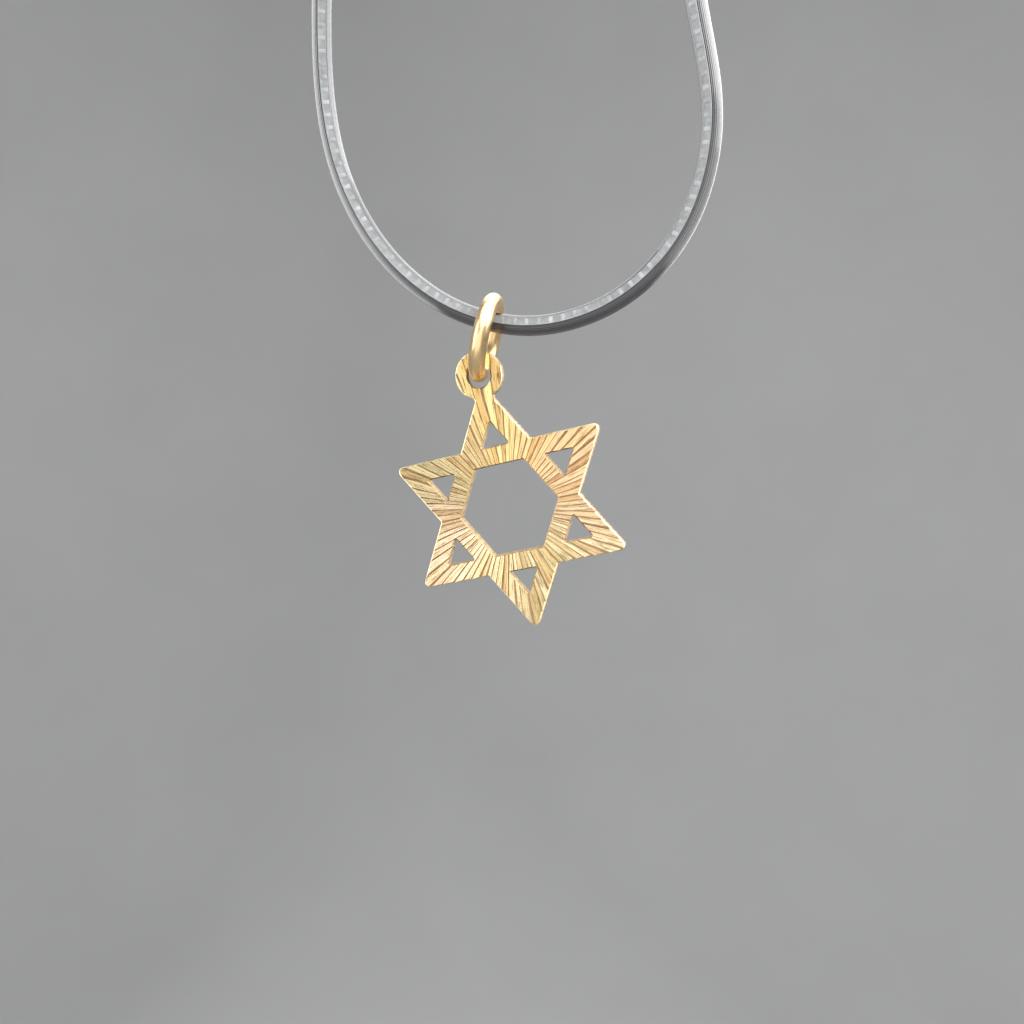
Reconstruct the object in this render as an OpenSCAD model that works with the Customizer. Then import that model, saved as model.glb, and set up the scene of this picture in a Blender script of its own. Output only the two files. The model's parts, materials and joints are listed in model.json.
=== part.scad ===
// Six-pointed star pendant on a jump ring, hanging on a round cord necklace.
// Millimetres, +Z up. The necklace hangs from a peg under its clasp, and the origin is that point.
// The cord loop lies in the XZ plane. The star faces -Y.

/* [Star] */
// Radius from the star's centre to the sharp corners of its two crossed triangles
star_r = 9.5; // [8:0.1:11]
// Width of each bar of the triangles
bar_w = 1.42; // [1.1:0.02:1.6]
// Rounding of the star's points
tip_round = 0.4; // [0.2:0.05:0.6]
// Thickness of the sheet that the star and its eyelet are stamped from
plate_t = 0.8; // [0.5:0.05:1]
// How far the star leans sideways as it hangs, its top towards -X, in degrees
star_lean = 13.4; // [0:0.1:20]

/* [Eyelet] */
// Outer radius of the eyelet above the top point
eyelet_r = 1.8; // [1.7:0.05:2]
// Radius of the eyelet's hole
hole_r = 0.93; // [0.88:0.01:1]
// How far the hole's centre lies above the star's sharp top corner
eyelet_rise = 0.6; // [0.4:0.05:0.8]
// Width of the neck that joins the eyelet to the top point
neck_w = 1.45; // [1.2:0.05:1.8]

/* [Jump ring] */
// Outer diameter of the ring
ring_d = 6.65; // [6.2:0.05:7.5]
// Diameter of the ring's wire
wire_d = 1.25; // [1:0.05:1.3]
// How far the ring leans sideways, square to the cord's slope, in degrees
ring_lean = 12; // [5:0.5:15]
// How far the ring is turned about the vertical, in degrees
ring_turn = 6.5; // [0:0.5:8]

/* [Cord] */
// Diameter of the cord
cord_d = 1.5; // [1.2:0.1:1.6]

/* [Clasp] */
// Length of the closed barrel clasp at the back of the neck
clasp_l = 11; // [10:0.5:12]
// Diameter of the barrel
clasp_d = 3.2; // [2.8:0.1:3.6]
// Rounding of the barrel's end rims
clasp_round = 0.5; // [0.3:0.05:0.7]
// Width of the groove where the barrel's halves close
groove_w = 0.4; // [0.3:0.05:0.6]
// Depth of that groove
groove_depth = 0.2; // [0.1:0.05:0.3]

/* [Clearances] */
// Gap between the ring's wire and the top of the cord that it hangs on
cord_gap = 0.08; // [0.06:0.02:0.2]
// How far the hole's centre hangs below the centre of the wire that passes through it
hole_drop = 0.1; // [0:0.02:0.16]

/* [Hidden] */
$fn = 96;
// How far a cutting shape runs past the face that it opens
cut = 1;

// Plan drawing of the star, with its centre at [0, 0] and its top point towards +Y
corner_angles = [90, 210, 330];
half_corner = 30;
// A triangle's two edges at a corner face this many degrees to either side of the corner's own direction,
// and the corner's round turns from the one to the other in these steps
edge_turn = 60;
round_step = 12;
// Each bar takes its width off both edges of a corner, so the opening's corner lies two widths further in
opening_r = star_r - bar_w / sin(half_corner);
hole_centre = [0, star_r + eyelet_rise];
// The neck starts inside the top point, a little below the place where the point is as wide as the neck
neck_root = 0.3;
neck_start = star_r - neck_w / 2 / tan(half_corner) - neck_root;

// Route of the cord's centreline as X and Z: control points of a smooth cubic curve,
// from the clasp's right end down the right strand, round the bottom and up the left strand
clasp_axis_z = clasp_d / 2;
right_strand = [
    [clasp_l / 2, clasp_axis_z], [7.2, clasp_axis_z], [9.2, 1.1], [10.7, -0.6], [11.3, -3], [11.3, -9],
    [10.7, -36], [10.2, -64], [10.1, -90], [10.4, -114], [11, -134], [11.6, -150], [12.45, -160]
];
bottom_bend = [
    [13.9, -165.9], [14.45, -169.85], [14.05, -173.4], [12.95, -176.7], [11, -179.55],
    [8.25, -181.85], [5.1, -183.2], [1.75, -183.75], [-1.7, -183.3], [-5.3, -181.9],
    [-8.75, -179.3], [-11.4, -176], [-13.4, -171.85], [-14.35, -167.05]
];
left_strand = [
    [-14.5, -161.05], [-13.8, -150.05], [-12.45, -135], [-11.45, -116], [-10.8, -92], [-10.6, -66],
    [-10.8, -38], [-11.3, -9], [-11.3, -3], [-10.7, -0.6], [-9.2, 1.1],
    [-7.2, clasp_axis_z], [-clasp_l / 2, clasp_axis_z]
];
route = concat(right_strand, bottom_bend, left_strand);
route_end = len(route) - 1;
// One more point past each end makes the curve start and stop on the route's own end points
controls = concat(
    [2 * route[0] - route[1]],
    route,
    [2 * route[route_end] - route[route_end - 1]]
);
cord_sides = 8;
steps_per_span = 2;
// Each section of the cord: the span that it lies in, and how far along that span
sections = concat(
    [for (span = [1:route_end]) for (step = [0:steps_per_span - 1]) [span, step / steps_per_span]],
    [[route_end, 1]]
);

// The ring hangs on the span of the curve that starts beside this control point of the bottom bend,
// the lowest one, and this far along that span
ring_bend_point = 7;
ring_step = 0.93;
cord_point = centre_at([len(right_strand) + ring_bend_point + 1, ring_step]);
ring_mid_r = (ring_d - wire_d) / 2;
ring_up = [sin(ring_lean), cos(ring_lean)];
ring_centre = cord_point - (ring_mid_r - wire_d / 2 - cord_gap - cord_d / 2) * ring_up;
wire_bottom = ring_centre - ring_mid_r * ring_up;

// Uniform cubic B-spline through four neighbouring control points, and its direction
function blend(a, b, c, d, t) =
    (pow(1 - t, 3) * a + (3 * pow(t, 3) - 6 * pow(t, 2) + 4) * b
    + (-3 * pow(t, 3) + 3 * pow(t, 2) + 3 * t + 1) * c + pow(t, 3) * d) / 6;
function heading(a, b, c, d, t) =
    (-pow(1 - t, 2) * a + (3 * pow(t, 2) - 4 * t) * b
    + (-3 * pow(t, 2) + 2 * t + 1) * c + pow(t, 2) * d) / 2;
function centre_at(s) =
    blend(controls[s[0] - 1], controls[s[0]], controls[s[0] + 1], controls[s[0] + 2], s[1]);
function heading_at(s) =
    heading(controls[s[0] - 1], controls[s[0]], controls[s[0] + 1], controls[s[0] + 2], s[1]);

// One corner of the cord's section: out along the route's normal in XZ, and along Y
function cord_corner(s, angle) =
    let (centre = centre_at(s), along = heading_at(s) / norm(heading_at(s)))
    let (out = cord_d / 2 * cos(angle), side = cord_d / 2 * sin(angle))
    [centre[0] - out * along[1], side, centre[1] + out * along[0]];

function polar(r, angle) = [r * cos(angle), r * sin(angle)];

// Equal-sided triangle with round corners; r is the radius to its sharp corners
module rounded_triangle(r, round_r) {
    arc_r = r - round_r / sin(half_corner);
    polygon([
        for (a = corner_angles) for (turn = [-edge_turn:round_step:edge_turn])
            polar(arc_r, a) + polar(round_r, a + turn)
    ]);
}

module triangle_frame() {
    difference() {
        rounded_triangle(star_r, tip_round);
        polygon([for (a = corner_angles) polar(opening_r, a)]);
    }
}

// The two crossed frames leave a hexagon and six small triangles open
module star_outline() {
    difference() {
        union() {
            triangle_frame();
            rotate(180) triangle_frame();
            translate([-neck_w / 2, neck_start]) square([neck_w, hole_centre[1] - neck_start]);
            translate(hole_centre) circle(eyelet_r);
        }
        translate(hole_centre) circle(hole_r);
    }
}

module star_pendant() {
    color("gold")
        translate([wire_bottom[0], 0, wire_bottom[1]])
            rotate([0, -star_lean, 0])
                translate([0, plate_t / 2, -hole_drop - hole_centre[1]])
                    rotate([90, 0, 0])
                        linear_extrude(plate_t) star_outline();
}

module jump_ring() {
    color("goldenrod")
        translate([ring_centre[0], 0, ring_centre[1]])
            rotate([0, ring_lean, ring_turn])
                rotate([0, 90, 0])
                    rotate_extrude() translate([ring_mid_r, 0]) circle(wire_d / 2);
}

module neck_cord() {
    last = len(sections) - 1;
    corners = [for (s = sections) for (k = [0:cord_sides - 1]) cord_corner(s, k * 360 / cord_sides)];
    start_cap = [[for (k = [0:cord_sides - 1]) k]];
    end_cap = [[for (k = [cord_sides - 1:-1:0]) last * cord_sides + k]];
    walls = [
        for (i = [0:last - 1]) for (k = [0:cord_sides - 1])
            let (near = i * cord_sides, far = near + cord_sides, next = (k + 1) % cord_sides)
            for (face = [[near + k, far + k, far + next], [near + k, far + next, near + next]]) face
    ];
    color("black") polyhedron(corners, concat(start_cap, end_cap, walls));
}

// Half section of the barrel: X is the distance from its axis, Y runs along it
module clasp_section() {
    rim = clasp_l / 2 - clasp_round;
    difference() {
        union() {
            translate([0, -clasp_l / 2]) square([clasp_d / 2 - clasp_round, clasp_l]);
            translate([0, -rim]) square([clasp_d / 2, 2 * rim]);
            for (end = [-1, 1]) translate([clasp_d / 2 - clasp_round, end * rim]) circle(clasp_round);
        }
        translate([clasp_d / 2 - groove_depth, -groove_w / 2]) square([groove_depth + cut, groove_w]);
    }
}

module clasp() {
    color("goldenrod")
        translate([0, 0, clasp_axis_z])
            rotate([0, 90, 0])
                rotate_extrude() clasp_section();
}

star_pendant();
jump_ring();
neck_cord();
clasp();
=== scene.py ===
# %% [markdown]
# # A cut star on a black cord
# This lesson dresses a small pendant necklace: a flat gold-tone star with six points, the jump ring that it
# hangs from, the ribbed black cord that carries them and a barrel clasp at the back of the neck. The sizes
# and places are already settled in a measured model. Here only the looks are made, so the lesson starts by
# loading that model as a fixed frame and keeps its box, to print it at the end beside the finished box.

# %% Load the measured model
import json
import math
import random

import bmesh
import bpy
from mathutils import Matrix, Vector


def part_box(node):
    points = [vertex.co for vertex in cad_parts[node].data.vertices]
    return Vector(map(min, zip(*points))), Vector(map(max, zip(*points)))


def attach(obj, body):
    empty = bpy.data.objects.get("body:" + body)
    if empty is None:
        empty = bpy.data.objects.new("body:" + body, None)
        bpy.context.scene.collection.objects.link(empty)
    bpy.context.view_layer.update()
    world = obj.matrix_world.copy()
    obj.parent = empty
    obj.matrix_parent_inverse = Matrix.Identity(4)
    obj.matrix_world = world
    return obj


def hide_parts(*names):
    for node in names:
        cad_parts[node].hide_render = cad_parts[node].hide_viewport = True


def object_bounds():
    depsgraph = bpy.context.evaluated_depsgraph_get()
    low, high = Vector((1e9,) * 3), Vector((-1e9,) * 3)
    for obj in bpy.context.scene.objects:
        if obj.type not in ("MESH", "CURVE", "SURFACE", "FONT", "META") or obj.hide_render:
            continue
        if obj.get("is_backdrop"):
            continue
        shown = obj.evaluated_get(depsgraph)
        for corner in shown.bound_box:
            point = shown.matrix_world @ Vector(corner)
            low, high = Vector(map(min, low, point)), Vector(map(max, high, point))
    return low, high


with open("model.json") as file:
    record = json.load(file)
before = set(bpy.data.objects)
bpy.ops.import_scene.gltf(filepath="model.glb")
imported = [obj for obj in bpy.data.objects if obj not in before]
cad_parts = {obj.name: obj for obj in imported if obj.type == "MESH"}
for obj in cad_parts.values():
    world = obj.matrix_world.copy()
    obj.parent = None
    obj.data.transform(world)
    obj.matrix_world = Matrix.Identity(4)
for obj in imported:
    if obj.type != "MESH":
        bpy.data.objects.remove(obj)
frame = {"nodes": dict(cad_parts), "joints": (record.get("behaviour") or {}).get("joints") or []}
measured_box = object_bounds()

MM = 0.001
print("nodes:", ", ".join(sorted(frame["nodes"])))

# %% [markdown]
# ## The camera
# The camera comes first, because the cord has to leave its picture at the right places. The photograph was
# taken from very near, about 75 mm, so the perspective is strong: the near side of the jump ring looks
# larger than its far side. A lens of 35 mm on a full-frame sensor at the true distance gives the same
# picture. A longer lens from further off would frame the star as well, but would flatten the ring.

# %% Place the camera
star_centre = Vector((0, 0, -197)) * MM
view_azimuth = math.radians(14.7)
view_elevation = math.radians(7.3)
view_distance = 75.2 * MM
lens_mm = 35.2
aim_right, aim_up = 0.2 * MM, -0.33 * MM

towards_camera = Vector((
    math.sin(view_azimuth) * math.cos(view_elevation),
    -math.cos(view_azimuth) * math.cos(view_elevation),
    math.sin(view_elevation),
))
picture_right = Vector((math.cos(view_azimuth), math.sin(view_azimuth), 0))
picture_up = towards_camera.cross(picture_right)
aim = star_centre + aim_right * picture_right + aim_up * picture_up

camera_data = bpy.data.cameras.new("camera")
camera_data.lens = lens_mm
camera_data.clip_start = 5 * MM
camera = bpy.data.objects.new("camera", camera_data)
bpy.context.scene.collection.objects.link(camera)
camera.location = aim + view_distance * towards_camera
camera.rotation_euler = (-towards_camera).to_track_quat("-Z", "Y").to_euler()
bpy.context.scene.camera = camera
print("camera at", [round(x / MM, 1) for x in camera.location], "mm")

# %% [markdown]
# ## Small helpers for working by hand
# An operator acts on everything that is selected, and the loaded model arrives selected. So every step
# first deselects all and then picks one object. In edit mode, faces and edges are picked in code by a rule
# on their place or their normal, which does what a hand does with the mouse and stays right when a size
# changes.

# %% Helpers for picking
def pick(obj):
    """Deselects everything else and makes obj the one that operators act on."""
    bpy.ops.object.select_all(action="DESELECT")
    obj.select_set(True)
    bpy.context.view_layer.objects.active = obj
    return obj


def settle(obj):
    """Applies the object's place, turn and scale to its mesh."""
    pick(obj)
    bpy.ops.object.transform_apply(location=True, rotation=True, scale=True)


def newest(name):
    """Names the object that an operator has just made, and settles it."""
    obj = bpy.context.view_layer.objects.active
    obj.name = obj.data.name = name
    settle(obj)
    return obj


def edit(obj, mode="VERT"):
    """Opens obj in edit mode with nothing selected."""
    pick(obj)
    bpy.ops.object.mode_set(mode="EDIT")
    bpy.ops.mesh.select_mode(type=mode)
    bpy.ops.mesh.select_all(action="DESELECT")


def select(obj, kind, rule):
    """In edit mode, selects the vertices, edges or faces that the rule holds for, and no others."""
    shape = bmesh.from_edit_mesh(obj.data)
    bpy.ops.mesh.select_all(action="DESELECT")
    chosen = [part for part in getattr(shape, kind) if rule(part)]
    for part in chosen:
        part.select_set(True)
    bmesh.update_edit_mesh(obj.data)
    return len(chosen)


def weld(distance):
    """In edit mode, selects all and joins the vertices that lie nearer together than a distance."""
    bpy.ops.mesh.select_all(action="SELECT")
    bpy.ops.mesh.remove_doubles(threshold=distance)


def done():
    """Leaves edit mode."""
    bpy.ops.object.mode_set(mode="OBJECT")


def done_outwards():
    """Turns all normals outwards and leaves edit mode."""
    bpy.ops.mesh.select_all(action="SELECT")
    bpy.ops.mesh.normals_make_consistent(inside=False)
    done()


def apply_modifier(obj, kind, **settings):
    """Adds one modifier, sets it up and applies it at once."""
    pick(obj)
    modifier = obj.modifiers.new(kind.lower(), kind)
    for name, value in settings.items():
        setattr(modifier, name, value)
    bpy.ops.object.modifier_apply(modifier=modifier.name)


def combine(obj, other, operation):
    """Joins, cuts or intersects two closed solids, and throws the second one away."""
    apply_modifier(
        obj, "BOOLEAN", object=other, operation=operation, solver="MANIFOLD", material_mode="TRANSFER"
    )
    bpy.data.objects.remove(other)


# %% [markdown]
# ## Helpers for finishes
# Every finish is a small tree of shader nodes that ends in one Principled shader. What is the same all over
# a surface, such as how metallic it is, is typed on the shader's own sockets. Nodes are only for what
# changes from place to place, and they read Object coordinates, because each finished piece lies at the
# origin with its place in its mesh, and so its pattern can't slide.

# %% Helpers for finishes
def finish_named(name, **sockets):
    """A new material, its node tree and its shader, with plain numbers and colours typed on the shader."""
    material = bpy.data.materials.new(name)
    material.use_nodes = True
    tree = material.node_tree
    shader = tree.nodes["Principled BSDF"]
    for socket, value in sockets.items():
        shader.inputs[socket.replace("_", " ")].default_value = value
    return material, tree, shader


def node(tree, kind, inputs=None, **settings):
    """Adds one node. Its inputs are typed in, or linked where a socket is given."""
    made = tree.nodes.new("ShaderNode" + kind)
    for name, value in settings.items():
        setattr(made, name, value)
    for name, value in (inputs or {}).items():
        if isinstance(value, bpy.types.NodeSocket):
            tree.links.new(value, made.inputs[name])
        else:
            made.inputs[name].default_value = value
    return made


def object_place(tree):
    """The place on the piece, in metres."""
    return node(tree, "TexCoord").outputs["Object"]


def stretched_place(tree, *scale):
    """The place on the piece, with its own scale along each axis."""
    return node(tree, "Mapping", {"Vector": object_place(tree), "Scale": scale}).outputs[0]


def maths(tree, operation, first, second=0.0, third=0.0):
    """One sum, product or other operation on numbers."""
    return node(tree, "Math", {0: first, 1: second, 2: third}, operation=operation).outputs[0]


def colour_steps(tree, factor, *steps):
    """A colour ramp with stops at the places given."""
    ramp = node(tree, "ValToRGB", {"Fac": factor})
    stops = ramp.color_ramp.elements
    while len(stops) < len(steps):
        stops.new(1.0)
    for stop, (place, colour) in zip(stops, steps):
        stop.position = place
        stop.color = (*colour, 1.0)
    return ramp.outputs["Color"]


def noise(tree, place, scale, detail=2.0, roughness=0.5):
    """Plain noise at a place."""
    inputs = {"Vector": place, "Scale": scale, "Detail": detail, "Roughness": roughness}
    return node(tree, "TexNoise", inputs).outputs["Fac"]


def spread(tree, value, low, high):
    """Noise spread over the range from low to high. Noise rarely leaves 0.3 to 0.7."""
    inputs = {"Value": value, "From Min": 0.3, "From Max": 0.7, "To Min": low, "To Max": high}
    return node(tree, "MapRange", inputs).outputs[0]


def two_tones(tree, pattern, first, second):
    """A colour that noise takes from a first tone to a second."""
    return colour_steps(tree, spread(tree, pattern, 0, 1), (0.0, first), (1.0, second))


def bump(tree, shader, height, distance):
    """Fine relief that only the light sees."""
    raised = node(tree, "Bump", {"Strength": 1.0, "Distance": distance, "Height": height})
    tree.links.new(raised.outputs[0], shader.inputs["Normal"])


print("finish helpers ready")

# %% [markdown]
# ## The cord
# The cord is black and 1.5 mm thick: a bundle of fine threads under a glossy skin, so shallow ribs run
# along it. One side carries a flat seam with a thin lip along each edge and a small cross bar about every
# millimetre. That seam catches the light as a pale ladder all round the loop, and its bars are painted a
# little paler, as a painted highlight.
#
# It could be swept as a mesh ring by ring. A curve with a drawn section does the same and keeps the route
# in one place. The route's points are the measured model's own. They are laid flat on the bench, in the XY
# plane, where a flat curve can't twist, and the finished cord is stood up afterwards.

# %% Draw the route
right_strand = [
    (0.0055, 0.0016), (0.0072, 0.0016), (0.0092, 0.0011), (0.0107, -0.0006), (0.0113, -0.003),
    (0.0113, -0.009), (0.0107, -0.036), (0.0102, -0.064), (0.0101, -0.09), (0.0104, -0.114),
    (0.011, -0.134), (0.0116, -0.15), (0.01245, -0.16),
]
bottom_bend = [
    (0.0139, -0.1659), (0.01445, -0.16985), (0.01405, -0.1734), (0.01295, -0.1767), (0.011, -0.17955),
    (0.00825, -0.18185), (0.0051, -0.1832), (0.00175, -0.18375), (-0.0017, -0.1833), (-0.0053, -0.1819),
    (-0.00875, -0.1793), (-0.0114, -0.176), (-0.0134, -0.17185), (-0.01435, -0.16705),
]
left_strand = [
    (-0.0145, -0.16105), (-0.0138, -0.15005), (-0.01245, -0.135), (-0.01145, -0.116), (-0.0108, -0.092),
    (-0.0106, -0.066), (-0.0108, -0.038), (-0.0113, -0.009), (-0.0113, -0.003), (-0.0107, -0.0006),
    (-0.0092, 0.0011), (-0.0072, 0.0016), (-0.0055, 0.0016),
]
route = [Vector(point) for point in right_strand + bottom_bend + left_strand]
# One more point past each end makes the curve start and stop on the route's own end points
controls = [2 * route[0] - route[1], *route, 2 * route[-1] - route[-2]]


def add_line(data, points, kind, closed):
    """Adds one line through points of the XY plane to a curve."""
    spline = data.splines.new(kind)
    spline.points.add(len(points) - 1)
    for point, place in zip(spline.points, points):
        point.co = (place[0], place[1], 0, 1)
    spline.use_cyclic_u = closed


def flat_curve(name, points, kind, closed=False):
    """A curve of one line in the XY plane."""
    data = bpy.data.curves.new(name, "CURVE")
    data.dimensions = "2D"
    data.fill_mode = "NONE"
    add_line(data, points, kind, closed)
    obj = bpy.data.objects.new(name, data)
    bpy.context.scene.collection.objects.link(obj)
    return obj


steps_per_span = 10
route_curve = flat_curve("cord_route", controls, "NURBS")
route_spline = route_curve.data.splines[0]
route_spline.order_u = 4
route_spline.resolution_u = steps_per_span
cord_length = route_spline.calc_length()
print(f"cord length {cord_length / MM:.0f} mm")

# %% [markdown]
# The section is drawn point by point from a rule: a circle with small waves for the ribs, and over the
# seam's width a flat floor between two thin lips. The seam faces between the front and the inside of the
# loop, as the photograph shows on both strands and under the ring.

# %% Draw the section
cord_r = 0.74 * MM
rib_count = 34
rib_depth = 0.022 * MM
seam_turn = math.radians(24)
seam_half = math.radians(22)
lip_half = math.radians(3.5)
seam_depth = 0.03 * MM
seam_floor = cord_r * math.cos(seam_half) - seam_depth


def off_seam(turn):
    """How far a turn round the section lies from the middle of the seam."""
    return abs(math.remainder(turn, math.tau))


def section_radius(turn):
    """Distance from the cord's centreline to its skin, at a turn measured from the middle of the seam."""
    off = off_seam(turn)
    if off > seam_half + lip_half:
        return cord_r - rib_depth * (1 - math.cos(rib_count * off)) / 2 - rib_depth / 2
    if off > seam_half:
        return cord_r - rib_depth / 2 * (off - seam_half) / lip_half
    if off > seam_half - lip_half:
        return cord_r - seam_depth * (seam_half - off) / lip_half
    return seam_floor / math.cos(off)


section_points = 4 * rib_count
# The section's X axis points to the inside of the loop, and its Y axis to the front
seam_place = math.pi / 2 - seam_turn
section = []
for i in range(section_points):
    turn = i * math.tau / section_points
    radius = section_radius(turn)
    section.append((radius * math.cos(turn + seam_place), radius * math.sin(turn + seam_place)))
section_curve = flat_curve("cord_section", section, "POLY", closed=True)
print(f"section of {section_points} points, {rib_count} ribs")

# %% [markdown]
# The cross bars of the seam are one small rounded bar, repeated by an Array modifier and bent round the
# loop by a Curve modifier that follows the same route. Each bar lies across the seam's floor from lip to
# lip.

# %% Lay the cross bars along the seam
bar_pitch = 0.92 * MM
bar_length, bar_width, bar_height = 0.5 * MM, 0.3 * MM, 0.05 * MM
bar_round = 0.02 * MM

bpy.ops.object.select_all(action="DESELECT")
bpy.ops.mesh.primitive_cube_add(size=1, scale=(bar_width, bar_length, bar_height))
seam_bars = newest("seam_bars")
edit(seam_bars, "EDGE")
bpy.ops.mesh.select_all(action="SELECT")
bpy.ops.mesh.bevel(offset=bar_round, segments=2, affect="EDGES")
done()
seam_bars.location = (bar_pitch / 2, -seam_floor * math.sin(seam_turn), seam_floor * math.cos(seam_turn))
seam_bars.rotation_euler.x = seam_turn
settle(seam_bars)

bar_count = int(cord_length / bar_pitch)
apply_modifier(
    seam_bars, "ARRAY", fit_type="FIXED_COUNT", count=bar_count,
    use_relative_offset=False, use_constant_offset=True, constant_offset_displace=(bar_pitch, 0, 0),
)
apply_modifier(seam_bars, "CURVE", object=route_curve, deform_axis="POS_X")
print(f"{bar_count} cross bars, {len(seam_bars.data.polygons)} faces")

# %% [markdown]
# Sweeping the section along the route is one convert call. The flat cord and its bars are then joined, and
# the whole is turned up from the bench to hang in the frame's XZ plane.

# %% Black skin and satin seam
black_skin, tree, shader = finish_named(
    "black_skin", Base_Color=(0.012, 0.012, 0.014, 1), Coat_Weight=1.0, Coat_Roughness=0.08, Coat_IOR=1.6
)
threads = noise(tree, object_place(tree), 3500, detail=3)
tree.links.new(spread(tree, threads, 0.26, 0.4), shader.inputs["Roughness"])
bump(tree, shader, threads, 0.004 * MM)

seam_skin, tree, shader = finish_named(
    "seam_skin", Specular_IOR_Level=0.3, Coat_Weight=0.1, Coat_Roughness=0.2
)
blotches = noise(tree, object_place(tree), 1800, detail=3)
seam_tone = two_tones(tree, blotches, (0.15, 0.155, 0.16), (0.24, 0.245, 0.25))
tree.links.new(seam_tone, shader.inputs["Base Color"])
tree.links.new(spread(tree, blotches, 0.34, 0.5), shader.inputs["Roughness"])
bump(tree, shader, blotches, 0.006 * MM)

pale_bar, tree, shader = finish_named(
    "pale_bar", Roughness=0.5, Specular_IOR_Level=0.35, Coat_Weight=0.1, Coat_Roughness=0.22
)
flecks = noise(tree, object_place(tree), 900, detail=3)
# Painted highlight: the bars' grey is a little paler than the seam's floor, for the light that the raised
# bars catch.
bar_grey_and_highlight = two_tones(tree, flecks, (0.17, 0.175, 0.18), (0.32, 0.33, 0.33))
tree.links.new(bar_grey_and_highlight, shader.inputs["Base Color"])
print("cord finishes ready")


# %% Sweep the cord and stand it up
def in_seam(face):
    """True for the seam's faces. Each ring of the sweep has the section's own points, in order."""
    return all(
        off_seam(vert.index % section_points * math.tau / section_points) < seam_half + lip_half
        for vert in face.verts
    )


route_curve.data.bevel_mode = "OBJECT"
route_curve.data.bevel_object = section_curve
route_curve.data.use_fill_caps = True
pick(route_curve)
bpy.ops.object.convert(target="MESH")
cord = bpy.context.view_layer.objects.active
cord.name = cord.data.name = "ribbed_cord"
bpy.data.objects.remove(section_curve)

cord.data.materials.append(black_skin)
cord.data.materials.append(seam_skin)
seam_bars.data.materials.append(pale_bar)
edit(cord, "FACE")
seam_faces = select(cord, "faces", in_seam)
cord.active_material_index = 1
bpy.ops.object.material_slot_assign()
weld(0.001 * MM)
done_outwards()
seam_bars.select_set(True)
bpy.ops.object.join()
cord.rotation_euler.x = math.pi / 2
settle(cord)
bpy.ops.object.shade_smooth_by_angle(angle=math.radians(40))
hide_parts("neck_cord")
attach(cord, "necklace")
print(f"cord: {len(cord.data.polygons)} faces, {seam_faces} in the seam")
print(f"cord: {cord.dimensions.z / MM:.1f} mm high")

# %% [markdown]
# ## The star
# The real star is stamped from sheet 0.8 mm thick. Its plan is two crossed triangular frames, which leave a
# hexagon and six small triangles open, with a flat eyelet on the top point. Its front was then cut with a
# graver, stroke by stroke outwards from the centre, so that it shines in rays.
#
# Two triangular rings could be crossed with Booleans, but they lie in the same two planes, and such unions
# leave slivers that spoil a fine bevel. A flat curve suits stamped sheet better: one closed line for the
# outline and one for each opening, which Blender fills, thickens and bevels along every edge at once. First
# comes a helper for lines with round corners, because stamping leaves no knife-sharp corner.

# %% A line with round corners
def turned(point, angle):
    """The point, turned round the star's centre."""
    return (
        point[0] * math.cos(angle) - point[1] * math.sin(angle),
        point[0] * math.sin(angle) + point[1] * math.cos(angle),
    )


def round_corner(before, corner, after, radius, steps):
    """Points of a round that replaces one corner."""
    before, corner, after = Vector(before), Vector(corner), Vector(after)
    to_before = (before - corner).normalized()
    to_after = (after - corner).normalized()
    half_angle = to_before.angle(to_after) / 2
    middle = corner + (to_before + to_after).normalized() * radius / math.sin(half_angle)
    first = corner + to_before * radius / math.tan(half_angle) - middle
    last = corner + to_after * radius / math.tan(half_angle) - middle
    sweep = first.angle_signed(last)
    return [middle + Matrix.Rotation(-sweep * step / steps, 2) @ first for step in range(steps + 1)]


def round_line(corners, steps=4):
    """A closed line through corners given as (place, radius)."""
    places = [place for place, radius in corners]
    points = []
    for i, (place, radius) in enumerate(corners):
        if radius:
            points += round_corner(places[i - 1], place, places[(i + 1) % len(places)], radius, steps)
        else:
            points.append(Vector(place))
    return points


square = [((x, y), 0.1) for x, y in ((1, 1), (-1, 1), (-1, -1), (1, -1))]
print("a square with round corners takes", len(round_line(square)), "points")

# %% [markdown]
# The plan is drawn round the frame's origin. The six points lie at the corners of the two triangles, and
# the notches between them where the triangles' edges cross. The neck leaves the top point where that is as
# wide as the neck, and runs into the eyelet's circle with small hollow rounds.

# %% Draw the star's lines
star_r = 9.5 * MM
bar_w = 1.42 * MM
tip_round = 0.4 * MM
corner_round = 0.1 * MM
half_corner = math.radians(30)
sixth = math.tau / 6
notch_r = star_r / math.sqrt(3)
opening_r = star_r - bar_w / math.sin(half_corner)

eyelet_r = 1.8 * MM
hole_r = 0.93 * MM
hole_centre = star_r + 0.6 * MM
neck_w = 1.45 * MM
neck_round = 0.2 * MM
eyelet_steps = 72
# The hollow rounds take up this many of the circle's first and last points
steps_in_round = 3

# From the notch at the right of the top point up the neck, round the eyelet and down again
neck_foot = star_r - neck_w / 2 / math.tan(half_corner)
eyelet_start = -math.acos(neck_w / 2 / eyelet_r)
eyelet_sweep = math.pi - 2 * eyelet_start
eyelet_places = []
for step in range(eyelet_steps + 1):
    angle = eyelet_start + eyelet_sweep * step / eyelet_steps
    eyelet_places.append((eyelet_r * math.cos(angle), hole_centre + eyelet_r * math.sin(angle)))

outline = [((neck_w / 2, neck_foot), neck_round), (eyelet_places[0], neck_round)]
outline += [(place, 0) for place in eyelet_places[steps_in_round:-steps_in_round]]
outline += [(eyelet_places[-1], neck_round), ((-neck_w / 2, neck_foot), neck_round)]
for i in range(6):
    if i:
        outline.append((turned((0, star_r), i * sixth), tip_round))
    outline.append((turned((0, notch_r), (i + 0.5) * sixth), corner_round))

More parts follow.
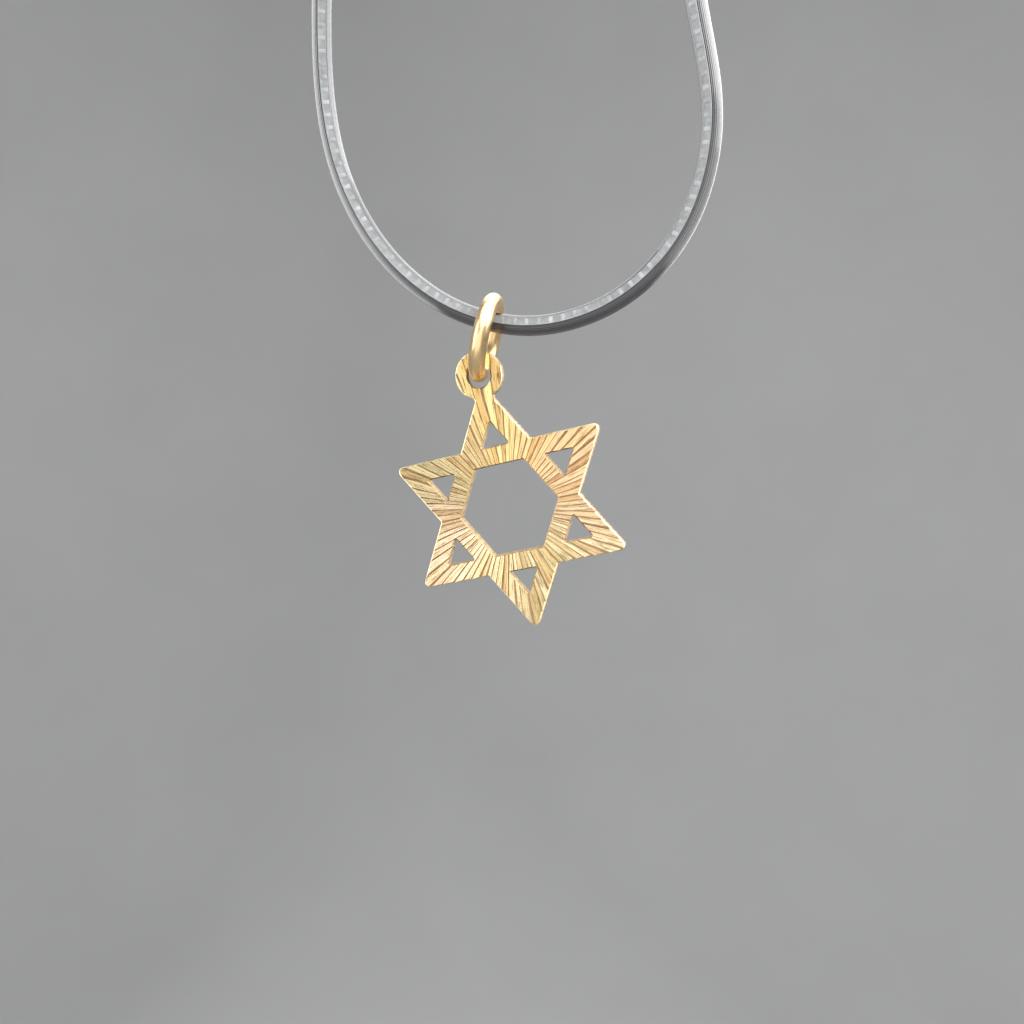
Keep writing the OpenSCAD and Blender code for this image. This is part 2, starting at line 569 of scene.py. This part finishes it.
hexagon = [(turned((opening_r / math.sqrt(3), 0), i * sixth), corner_round) for i in range(6)]
window_half = (opening_r - star_r / 2) * math.tan(half_corner)
window = [(0, opening_r), (-window_half, star_r / 2), (window_half, star_r / 2)]
windows = [[(turned(place, i * sixth), corner_round) for place in window] for i in range(6)]
print(f"outline of {len(outline)} corners, windows {2 * window_half / MM:.2f} mm wide")

# %% [markdown]
# One flat curve takes all the lines. Its thickness comes from Extrude, and its Bevel breaks every edge,
# front and back, with the line's own size kept by an offset. On the real star that slant is the burnished
# edge that shines as a thin bright line round the outline, and in the openings the duller edge that the
# punch left, which is painted darker here as painted shade. It is one straight slant and no round, because
# the strokes take away the upper part of it, and a round would then be too steep to show.

# %% Stamp the sheet
plate_t = 0.8 * MM
rim_width = 0.12 * MM

star_curve = flat_curve("star_plan", round_line(outline), "POLY", closed=True)
star_curve.data.fill_mode = "BOTH"
star_curve.data.extrude = plate_t / 2 - rim_width
star_curve.data.bevel_depth = rim_width
star_curve.data.bevel_resolution = 0
star_curve.data.offset = -rim_width

# The fill leaves every further line of the plan open
for corners in (hexagon, *windows):
    add_line(star_curve.data, round_line(corners), "POLY", closed=True)
hole_steps = 64
hole = []
for i in range(hole_steps):
    turn = i * math.tau / hole_steps
    hole.append((hole_r * math.cos(turn), hole_centre + hole_r * math.sin(turn)))
add_line(star_curve.data, hole, "POLY", closed=True)

pick(star_curve)
bpy.ops.object.convert(target="MESH")
star = bpy.context.view_layer.objects.active
star.name = star.data.name = "cut_star"
edit(star)
weld(0.0005 * MM)
done_outwards()
star.rotation_euler.x = math.pi / 2
settle(star)
print(f"star blank: {len(star.data.polygons)} faces, {star.dimensions.x / MM:.2f} mm wide")

# %% [markdown]
# ## Five finishes on one sheet
# The star is one metal, gold-tone plate, but each tool left its own skin on it. The strokes are bright with
# fine scratches that run outwards, and their gold changes colour round the star as a painted reflection. The
# steps between them are painted dark brown, as painted shade, the outline's edges are burnished, the walls
# and the edges of the openings are rougher where the punch sheared them and painted darker, as painted
# shade, and the back is plain satin from the rolled sheet.
#
# The scratches could be an image, but noise does it at any size. The strokes will be cut with a fan of
# slopes whose own UV map counts the strokes along U and runs outwards along V. Noise that is stretched
# along V follows each stroke through its bends, and white noise of the stroke's number gives each its own
# tone of gold.

# %% Gold for the strokes and the steps
star_lean = math.radians(-13.4)
hole_drop = 0.1 * MM
swing = next(joint for joint in frame["joints"] if joint["name"] == "pendant_swing")
wire_bottom = Vector(swing["pos_m"])
star_place = wire_bottom + Matrix.Rotation(star_lean, 3, "Y") @ Vector((0, 0, -hole_drop - hole_centre))


def ray_place(tree, across, outwards):
    """Coordinates that run round the star and outwards from its centre, stretched as asked."""
    both = {0: object_place(tree), 1: tuple(star_place)}
    centred = node(tree, "VectorMath", both, operation="SUBTRACT").outputs[0]
    parts = node(tree, "SeparateXYZ", {0: centred}).outputs
    angle = maths(tree, "ARCTAN2", parts["Z"], parts["X"])
    distance = node(tree, "VectorMath", {0: centred}, operation="LENGTH").outputs["Value"]
    place = node(tree, "CombineXYZ", {
        "X": maths(tree, "MULTIPLY", angle, across),
        "Y": maths(tree, "MULTIPLY", distance, outwards),
    })
    return place.outputs[0]


ray_count = 80
cut_gold, tree, shader = finish_named("cut_gold", Metallic=1.0)
on_fan = node(tree, "SeparateXYZ", {0: node(tree, "UVMap", uv_map="UVMap").outputs[0]}).outputs
stroke = maths(tree, "MULTIPLY", on_fan["X"], ray_count)
streak_place = node(tree, "CombineXYZ", {
    "X": maths(tree, "MULTIPLY", stroke, 4.5),
    "Y": maths(tree, "MULTIPLY", on_fan["Y"], 5),
}).outputs[0]
streaks = noise(tree, streak_place, 1.0, detail=3, roughness=0.7)
stroke_number = maths(tree, "FLOOR", maths(tree, "ADD", stroke, 0.05))
luck = node(tree, "TexWhiteNoise", {"W": stroke_number}, noise_dimensions="1D").outputs["Value"]
# Painted reflection: the gold's colour and brightness change round the star, from greenish at the upper left
# to orange at the right of the top point, standing in for what each arm mirrors, and each ray differs a
# little from its neighbours at random. The ramp starts and ends at the left side.
own_tone = noise(tree, ray_place(tree, 11, 30), 1.0)
angle_round = node(tree, "SeparateXYZ", {0: ray_place(tree, 1 / math.tau, 0)}).outputs["X"]
reflection_place = maths(tree, "ADD", maths(tree, "ADD", angle_round, 0.5), spread(tree, own_tone, -0.04, 0.04))
gold_and_painted_reflection = colour_steps(
    tree, reflection_place,
    (0.0, (0.80, 0.62, 0.39)), (0.1, (0.88, 0.74, 0.52)), (0.2, (0.90, 0.74, 0.43)),
    (0.3, (0.92, 0.82, 0.48)), (0.36, (0.95, 0.84, 0.45)), (0.43, (0.94, 0.84, 0.53)),
    (0.5, (0.84, 0.63, 0.37)), (0.6, (0.90, 0.67, 0.39)), (0.71, (1.0, 0.71, 0.33)),
    (0.77, (1.0, 0.83, 0.38)), (0.83, (0.77, 0.61, 0.32)), (0.9, (0.75, 0.62, 0.33)),
    (0.95, (0.72, 0.63, 0.36)), (1.0, (0.80, 0.62, 0.39)),
)
scored = colour_steps(tree, spread(tree, streaks, 0, 1), (0.0, (0.28, 0.17, 0.09)), (0.5, (1, 1, 1)))
dulled = colour_steps(tree, luck, (0.0, (0.8, 0.66, 0.54)), (0.5, (0.97, 0.94, 0.9)), (1.0, (1, 1, 1)))


def multiplied(tree, first, second):
    """Two colours multiplied."""
    mix = node(tree, "Mix", data_type="RGBA", blend_type="MULTIPLY")
    mix.inputs["Factor"].default_value = 1.0
    tree.links.new(first, mix.inputs["A"])
    tree.links.new(second, mix.inputs["B"])
    return mix.outputs["Result"]


tree.links.new(multiplied(tree, multiplied(tree, gold_and_painted_reflection, scored), dulled), shader.inputs["Base Color"])
tree.links.new(spread(tree, streaks, 0.3, 0.18), shader.inputs["Roughness"])
bump(tree, shader, streaks, 0.015 * MM)

# Painted shade: the steps are coloured dark brown, so that they stay dark between the bright strokes under
# any light.
step_gold, tree, shader = finish_named("step_gold", Metallic=0.3)
step_mottle = noise(tree, ray_place(tree, 60, 900), 1.0)
painted_step_shade = two_tones(tree, step_mottle, (0.12, 0.06, 0.025), (0.30, 0.17, 0.075))
tree.links.new(painted_step_shade, shader.inputs["Base Color"])
tree.links.new(spread(tree, step_mottle, 0.5, 0.65), shader.inputs["Roughness"])
print("star centre at", [round(x / MM, 2) for x in star_place], "mm")

# %% Gold for the edges, the walls and the back
burnished_gold, tree, shader = finish_named("burnished_gold", Metallic=1.0)
wear = noise(tree, object_place(tree), 900)
edge_tone = two_tones(tree, wear, (0.60, 0.47, 0.26), (0.70, 0.57, 0.34))
tree.links.new(edge_tone, shader.inputs["Base Color"])
tree.links.new(spread(tree, wear, 0.28, 0.4), shader.inputs["Roughness"])

# Painted shade: the walls and the slants of the openings are coloured darker than the strokes. Their higher
# roughness is where the punch sheared them.
sheared_gold, tree, shader = finish_named("sheared_gold", Metallic=1.0)
drag = noise(tree, stretched_place(tree, 4000, 500, 4000), 1.0)
painted_wall_shade = two_tones(tree, drag, (0.24, 0.165, 0.085), (0.42, 0.30, 0.16))
tree.links.new(painted_wall_shade, shader.inputs["Base Color"])
tree.links.new(spread(tree, drag, 0.38, 0.5), shader.inputs["Roughness"])

satin_gold, tree, shader = finish_named("satin_gold", Metallic=1.0)
grain = noise(tree, stretched_place(tree, 9000, 9000, 500), 1.0)
cloud = noise(tree, object_place(tree), 250)
back_tone = two_tones(tree, cloud, (0.82, 0.60, 0.29), (0.92, 0.70, 0.36))
tree.links.new(back_tone, shader.inputs["Base Color"])
tree.links.new(spread(tree, grain, 0.3, 0.42), shader.inputs["Roughness"])
bump(tree, shader, grain, 0.003 * MM)
print("five gold finishes ready")

# %% [markdown]
# ## The rays
# Each ray is one stroke of a flat-nosed graver, drawn outwards from the middle. The tool is held a little
# tilted, so a stroke leaves a smooth slope that ends against a steep step, and the row of strokes has the
# section of a saw. The slopes shine one after another as the star turns, and the steps stay dark: they are
# also painted dark brown, as painted shade.
#
# Cutting eighty grooves one by one would take eighty Booleans. One fan of slopes and steps, thick enough to
# reach behind the sheet, does it in a single intersection. The fan starts as a grid whose columns run
# across the strokes and whose rows run outwards, and a rule puts each of its points in place.

# %% Lay out the strokes
fan_inner_r, fan_outer_r = 3.1 * MM, 12.1 * MM
fan_rings = 14
# Places across one slope, from its low side to the crest above the next step
slope_columns = [0.0, 0.33, 0.6, 0.83, 1.0]
slope_angle = math.radians(8)
crest_below_face = 0.012 * MM
nick_depth = 0.007 * MM
# The fan reaches this far past the back of the sheet
reach_behind = 0.5 * MM

rng = random.Random(23)
stroke_pitch = math.tau / ray_count
# Each stroke has its own start, slope, crest, bow and wave, and a nick along one of its columns
stroke_starts = [(i + rng.uniform(-0.2, 0.2)) * stroke_pitch for i in range(ray_count)]
stroke_slopes = [math.tan(slope_angle) * rng.uniform(0.45, 1.55) for i in range(ray_count)]
stroke_crests = [rng.uniform(0.66, 0.86) for i in range(ray_count)]
stroke_bows = [rng.uniform(-0.14, 0.14) * stroke_pitch for i in range(ray_count)]
stroke_waves = [rng.uniform(0, math.tau) for i in range(ray_count)]
stroke_nicks = [rng.choice([1, 2, 3]) for i in range(ray_count)]
print(f"{ray_count} strokes, {math.degrees(stroke_pitch):.1f} degrees apart")


# %% Cut the fan
def stroke_start(i, out):
    """Angle of a stroke's first side, where out runs from 0 at the middle to 1 at the fan's rim."""
    turns, i = divmod(i, ray_count)
    bend = math.sin(stroke_waves[i] + 5 * out)
    tremor = 0.4 * math.sin(stroke_waves[i] * 3 + 17 * out)
    return turns * math.tau + stroke_starts[i] + stroke_bows[i] * (bend + tremor)


def fan_point(column, ring):
    """Place of one point of the fan's face."""
    stroke, part = divmod(column, len(slope_columns))
    out = ring / fan_rings
    radius = fan_inner_r + (fan_outer_r - fan_inner_r) * out
    start, end = stroke_start(stroke, out), stroke_start(stroke + 1, out)
    crest = stroke_crests[stroke % ray_count]
    across = slope_columns[part] * crest
    angle = start + across * (end - start)
    depth = crest_below_face + stroke_slopes[stroke % ray_count] * radius * (crest - across) * (end - start)
    if part == stroke_nicks[stroke % ray_count]:
        depth += nick_depth
    return Vector((radius * math.cos(angle), depth - plate_t / 2, radius * math.sin(angle)))


columns = ray_count * len(slope_columns)
bpy.ops.object.select_all(action="DESELECT")
bpy.ops.mesh.primitive_grid_add(x_subdivisions=columns, y_subdivisions=fan_rings, size=1)
fan = newest("ray_fan")
for vert in fan.data.vertices:
    column = round((vert.co.x + 0.5) * columns)
    ring = round((vert.co.y + 0.5) * fan_rings)
    vert.co = fan_point(column, ring)
fan.data.materials.append(cut_gold)
fan.data.materials.append(step_gold)
step_column = len(slope_columns) - 1
for face in fan.data.polygons:
    face.material_index = 1 if face.index % columns % len(slope_columns) == step_column else 0

edit(fan)
weld(0.0001 * MM)
bpy.ops.mesh.extrude_region_move()
bpy.ops.transform.resize(value=(1, 0, 1), center_override=(0, plate_t / 2 + reach_behind, 0))
done_outwards()
print(f"fan: {len(fan.data.polygons)} faces")

# %% [markdown]
# One intersection leaves the fan's face on the front of the star, and its finishes and its UV map come with
# it. The sheet keeps the burnished finish on the slants of its outline. The walls and the slants of the
# openings get the sheared one, which is painted darker as painted shade, and the back the satin one. Then
# the star is turned by its lean and moved under the ring, and both are applied, so that its place is in its
# mesh.

# %% Cut the star and hang it
star.data.materials.append(burnished_gold)
combine(star, fan, "INTERSECT")
edge_slot = star.data.materials.find("burnished_gold")
star.data.materials.append(sheared_gold)
star.data.materials.append(satin_gold)


def in_opening(place):
    """True for a place on the edges of the hexagon, a window or the eyelet's hole."""
    if math.hypot(place.x, place.z) < notch_r - corner_round:
        return True
    if math.hypot(place.x, place.z - hole_centre) < (hole_r + eyelet_r) / 2:
        return True
    turn = round(math.atan2(place.x, place.z) / sixth) * sixth
    across, outwards = turned((place.x, place.z), turn)
    return abs(across) < window_half + 2 * rim_width and outwards < opening_r + 2 * rim_width


def on_wall(face):
    """True for the walls and for the slants of the openings."""
    if face.material_index != edge_slot:
        return False
    return abs(face.normal.y) < 0.3 or in_opening(face.calc_center_median())


edit(star)
weld(0.0005 * MM)
bpy.ops.mesh.select_mode(type="FACE")
wall_faces = select(star, "faces", on_wall)
star.active_material_index = len(star.data.materials) - 2
bpy.ops.object.material_slot_assign()
back_faces = select(star, "faces", lambda face: face.normal.y > 0.9)
star.active_material_index = len(star.data.materials) - 1
bpy.ops.object.material_slot_assign()
done()

star.rotation_euler.y = star_lean
star.location = star_place
settle(star)
bpy.ops.object.shade_smooth_by_angle(angle=math.radians(22))
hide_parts("star_pendant")
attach(star, "pendant")
print(f"star: {len(star.data.polygons)} faces, {wall_faces} on walls and openings, {back_faces} on the back")
print("star finishes:", ", ".join(slot.material.name for slot in star.material_slots))

# %% [markdown]
# ## The jump ring
# The ring is a piece of round wire bent to a circle, with its two ends pressed together. A torus primitive
# would be closed all round. Spinning the wire's section by hand leaves a place for the joint, which sits at
# the back, where the wearer turns it: there the section draws in a little, as cut ends with eased edges do.

# %% Spin the wire
ring_d = 6.65 * MM
wire_d = 1.25 * MM
ring_lean = math.radians(12)
ring_turn = math.radians(6.5)
wire_sides, ring_steps = 32, 144
ring_mid_r = (ring_d - wire_d) / 2
joint_depth = 0.03 * MM
joint_half = 0.05 * MM
joint_drop = math.radians(68)

bpy.ops.object.select_all(action="DESELECT")
bpy.ops.mesh.primitive_circle_add(vertices=wire_sides, radius=wire_d / 2, location=(0, ring_mid_r, 0))
wire_ring = newest("wire_ring")
edit(wire_ring)
bpy.ops.mesh.select_all(action="SELECT")
bpy.ops.mesh.spin(steps=ring_steps, angle=math.tau, center=(0, 0, 0), axis=(1, 0, 0))
weld(0.001 * MM)
done_outwards()
print(f"ring: {len(wire_ring.data.polygons)} faces, {wire_ring.dimensions.z / MM:.2f} mm across")

# %% [markdown]
# The joint is three extra cuts close together, with the middle one shrunk towards the wire's own axis. The
# ring's axis still lies along X here, so cuts square to Z cross the wire at its back. Of the ring's three
# turns the one about X comes first, and it brings the joint low at the back, behind the eyelet.

# %% Press the joint and hang the ring
edit(wire_ring)
for side in (-1, 0, 1):
    bpy.ops.mesh.select_all(action="SELECT")
    bpy.ops.mesh.bisect(plane_co=(0, 0, side * joint_half), plane_no=(0, 0, 1))


def in_joint(vert):
    """True for the middle cut, on the back half of the ring."""
    return abs(vert.co.z) < 0.001 * MM and vert.co.y > 0


joint_points = select(wire_ring, "verts", in_joint)
shrink = 1 - 2 * joint_depth / wire_d
bpy.ops.transform.resize(value=(shrink, shrink, 1), center_override=(0, ring_mid_r, 0))
done()

low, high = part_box("jump_ring")
wire_ring.rotation_euler = (-joint_drop, ring_lean, ring_turn)
wire_ring.location = (Vector(low) + Vector(high)) / 2
settle(wire_ring)
bpy.ops.object.shade_smooth_by_angle(angle=math.radians(50))

wire_gold, tree, shader = finish_named("wire_gold", Metallic=1.0)
scuffs = noise(tree, object_place(tree), 2600, detail=4)
patches = noise(tree, object_place(tree), 450)
ring_tone = two_tones(tree, patches, (0.91, 0.63, 0.32), (1.0, 0.74, 0.40))
tree.links.new(ring_tone, shader.inputs["Base Color"])
tree.links.new(spread(tree, scuffs, 0.26, 0.36), shader.inputs["Roughness"])
bump(tree, shader, scuffs, 0.001 * MM)
wire_ring.data.materials.append(wire_gold)
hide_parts("jump_ring")
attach(wire_ring, "ring")
print(f"{joint_points} points pressed in at the joint")

# %% [markdown]
# ## The clasp
# A cord of this kind closes with a barrel: two turned brass halves that screw together, with a fine groove
# where they meet and a shallow step near each end, where the tube is rolled onto the cord. It starts as a
# cylinder along X, cut into bands. Some bands are then moved in along their normals, and the end rims are
# rounded.

# %% Turn the barrel
clasp_l, clasp_d = 11 * MM, 3.2 * MM
groove_half, groove_depth = 0.2 * MM, 0.2 * MM
collar_from, collar_to, collar_depth = 4.1 * MM, 4.35 * MM, 0.1 * MM
clasp_axis_z = clasp_d / 2
barrel_sides = 72
rim_round, rim_segments = 0.5 * MM, 6

bpy.ops.object.select_all(action="DESELECT")
bpy.ops.mesh.primitive_cylinder_add(
    vertices=barrel_sides, radius=clasp_d / 2, depth=clasp_l,
    location=(0, 0, clasp_axis_z), rotation=(0, math.pi / 2, 0),
)
barrel = newest("barrel_clasp")
edit(barrel, "EDGE")
for place in (groove_half, collar_from, collar_to):
    for side in (-1, 1):
        bpy.ops.mesh.select_all(action="SELECT")
        bpy.ops.mesh.bisect(plane_co=(side * place, 0, 0), plane_no=(1, 0, 0))


def band(inner, outer):
    """A rule for the faces round the barrel between two distances from its middle."""
    def rule(face):
        return abs(face.normal.x) < 0.1 and inner <= abs(face.calc_center_median().x) <= outer
    return rule


def on_rim(edge):
    """True for the edges round the barrel's two ends."""
    return all(abs(abs(vert.co.x) - clasp_l / 2) < 0.01 * MM for vert in edge.verts)


bpy.ops.mesh.select_mode(type="FACE")
for inner, outer, depth in ((0, groove_half, groove_depth), (collar_from, collar_to, collar_depth)):
    select(barrel, "faces", band(inner, outer))
    bpy.ops.mesh.extrude_region_shrink_fatten(TRANSFORM_OT_shrink_fatten={"value": -depth})
bpy.ops.mesh.select_mode(type="EDGE")
rims = select(barrel, "edges", on_rim)
bpy.ops.mesh.bevel(offset=rim_round, segments=rim_segments, affect="EDGES")
done()
print(f"barrel: {len(barrel.data.polygons)} faces, {rims} rim edges rounded")

# %% [markdown]
# The barrel wears the same plate as the ring, turned on a lathe, so its finest marks run round it. Noise
# that is stretched round the axis gives them: it reads only the place along the barrel.

# %% Finish the barrel
barrel_gold, tree, shader = finish_named("barrel_gold", Metallic=1.0)
parts = node(tree, "SeparateXYZ", {0: object_place(tree)}).outputs
turning = noise(tree, node(tree, "CombineXYZ", {"X": parts["X"]}).outputs[0], 12000, detail=3)
haze = noise(tree, object_place(tree), 400)
clasp_tone = two_tones(tree, haze, (0.84, 0.60, 0.29), (0.95, 0.70, 0.36))
tree.links.new(clasp_tone, shader.inputs["Base Color"])
tree.links.new(spread(tree, haze, 0.18, 0.28), shader.inputs["Roughness"])
bump(tree, shader, turning, 0.003 * MM)
barrel.data.materials.append(barrel_gold)
pick(barrel)
bpy.ops.object.shade_smooth_by_angle(angle=math.radians(35))
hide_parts("clasp")
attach(barrel, "necklace")
print("barrel finished")

# %% [markdown]
# ## The room
# Polished metal shows its surroundings, so the room matters as much as the gold. A plain pale floor that
# curves up into a wall all round gives one even tone from every side, with no horizon line. It is a circle,
# pushed outwards and upwards ring by ring, and it belongs to the stage, not to the necklace.

# %% Raise the floor and its wall
floor_z = -0.9
floor_r, cove_r, wall_top = 0.9, 0.7, 0.7
room_sides, cove_steps = 128, 10

bpy.ops.object.select_all(action="DESELECT")
bpy.ops.mesh.primitive_circle_add(
    vertices=room_sides, radius=floor_r, fill_type="NGON", location=(0, 0, floor_z)
)
room = newest("pale_room")
edit(room, "EDGE")
bpy.ops.mesh.select_all(action="SELECT")
cove_turns = [math.pi / 2 * step / cove_steps for step in range(1, cove_steps + 1)]
rings = [(floor_r + cove_r * math.sin(turn), floor_z + cove_r * (1 - math.cos(turn))) for turn in cove_turns]
rings.append((rings[-1][0], wall_top))
radius, height = floor_r, floor_z
for new_radius, new_height in rings:
    growth = new_radius / radius
    bpy.ops.mesh.extrude_edges_move(TRANSFORM_OT_translate={"value": (0, 0, new_height - height)})
    bpy.ops.transform.resize(value=(growth, growth, 1), center_override=(0, 0, new_height))
    radius, height = new_radius, new_height
bpy.ops.mesh.select_all(action="SELECT")
bpy.ops.mesh.normals_make_consistent(inside=True)
done()
bpy.ops.object.shade_smooth_by_angle(angle=math.radians(40))

pale_paint, tree, shader = finish_named("pale_paint", Roughness=0.9)
mottle = noise(tree, object_place(tree), 6)
paint_tone = two_tones(tree, mottle, (0.52, 0.52, 0.52), (0.54, 0.54, 0.54))
tree.links.new(paint_tone, shader.inputs["Base Color"])
room.data.materials.append(pale_paint)
room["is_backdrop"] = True
print(f"room: {len(room.data.polygons)} faces, {2 * radius:.1f} m across")

# %% [markdown]
# ## The light
# The photograph is lit from above and from all round, as under a cloudy sky. Eight soft panels stand for
# it. A broad dim one in front gives the strokes their even gold, and a tall one at the left whitens those
# at the star's lower left. A small one at the right lights the far side of the ring. One overhead and one
# high at the back whiten its top and its front. Three tall ones, at both sides and at the back right, draw
# the pale lines along the strands of the cord.
#
# Those three would also edge the ring's wire with white where the real one is tan, and the two high ones
# would bleach the floor and the clasp. Light linking keeps the three off the ring, and the two off the room
# and the clasp. Panels are given the brightness of their surface, because that is what the gold mirrors.

# %% Hang the panels
def panel(name, azimuth, elevation, distance, width, height, brightness):
    """A soft panel that faces the star, from so many degrees to the left of its front and above it."""
    data = bpy.data.lights.new(name, "AREA")
    data.shape = "RECTANGLE"
    data.size, data.size_y = width, height
    # A panel's power is pi times its area times the brightness of its surface
    data.energy = brightness * math.pi * width * height
    lamp = bpy.data.objects.new(name, data)
    bpy.context.scene.collection.objects.link(lamp)
    a, e = math.radians(azimuth), math.radians(elevation)
    away = Vector((-math.sin(a) * math.cos(e), -math.cos(a) * math.cos(e), math.sin(e)))
    lamp.location = star_centre + away * distance
    lamp.rotation_euler = away.to_track_quat("Z", "Y").to_euler()
    lamp.visible_camera = False
    return lamp


def keep_off(objects, lamps):
    """Keeps the light of some panels off some objects."""
    shaded = bpy.data.collections.new("shaded_" + objects[0].name)
    for obj in objects:
        shaded.objects.link(obj)
    for entry in shaded.collection_objects:
        entry.light_linking.link_state = "EXCLUDE"
    for lamp in lamps:
        lamp.light_linking.receiver_collection = shaded


# Each panel's azimuth, elevation, distance, width, height and brightness
panel("front_panel", -2, -12, 0.8, 1.08, 0.84, 1.0)
panel("left_panel", 52, 12, 0.7, 0.42, 0.65, 2.8)
panel("small_right_panel", -100, 25, 0.7, 0.6, 0.45, 3.4)
keep_off([room, barrel], [
    panel("overhead_panel", -50, 66, 0.8, 1.6, 1.6, 2.9),
    panel("back_top_panel", 180, 42, 0.8, 1.0, 0.6, 2.5),
])
keep_off([wire_ring], [
    panel("left_side_panel", 92, 0, 0.7, 0.95, 1.25, 2.6),
    panel("right_panel", -66, 0, 0.7, 0.6, 1.25, 3.2),
    panel("back_panel", -138, 5, 0.7, 0.45, 0.9, 4.0),
])

sky = bpy.data.worlds.new("grey_sky")
sky.use_nodes = True
sky_inputs = sky.node_tree.nodes["Background"].inputs
sky_inputs["Color"].default_value = (0.8, 0.82, 0.85, 1)
sky_inputs["Strength"].default_value = 0.3
bpy.context.scene.world = sky
bpy.context.scene.view_settings.view_transform = "Standard"
print("eight panels and a grey sky")

# %% [markdown]
# The lower front of the ring is brown on the real one, because it mirrors something dull in front and
# below. A grey card stands for that. The camera doesn't see it, and it throws no shadow and no light of its
# own, so it shows in the mirror image alone.

# %% Lay the grey card
card_elevation = math.radians(70)
card_distance = 0.4
card_width, card_height = 0.9, 0.5

bpy.ops.object.select_all(action="DESELECT")
bpy.ops.mesh.primitive_plane_add(size=1)
card = newest("grey_card")
edit(card)
bpy.ops.mesh.select_all(action="SELECT")
bpy.ops.transform.resize(value=(card_width, card_height, 1), center_override=(0, 0, 0))
done()
towards_card = Vector((0, -math.cos(card_elevation), -math.sin(card_elevation)))
card.location = star_centre + towards_card * card_distance
card.rotation_euler.x = card_elevation - math.pi / 2
card_grey, tree, shader = finish_named("card_grey", Base_Color=(0.14, 0.14, 0.14, 1), Roughness=0.9)
card.data.materials.append(card_grey)
card.visible_camera = card.visible_shadow = card.visible_diffuse = False
card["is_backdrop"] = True
print("grey card laid")

# %% [markdown]
# ## The two boxes
# Last, the measured model's box and the finished necklace's box are printed side by side.

# %% Print both boxes
finished_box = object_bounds()
boxes = {
    "measured": [list(corner) for corner in measured_box],
    "finished": [list(corner) for corner in finished_box],
}
for name, (low, high) in boxes.items():
    print(name, "box in mm:", [round(x / MM, 2) for x in low], [round(x / MM, 2) for x in high])
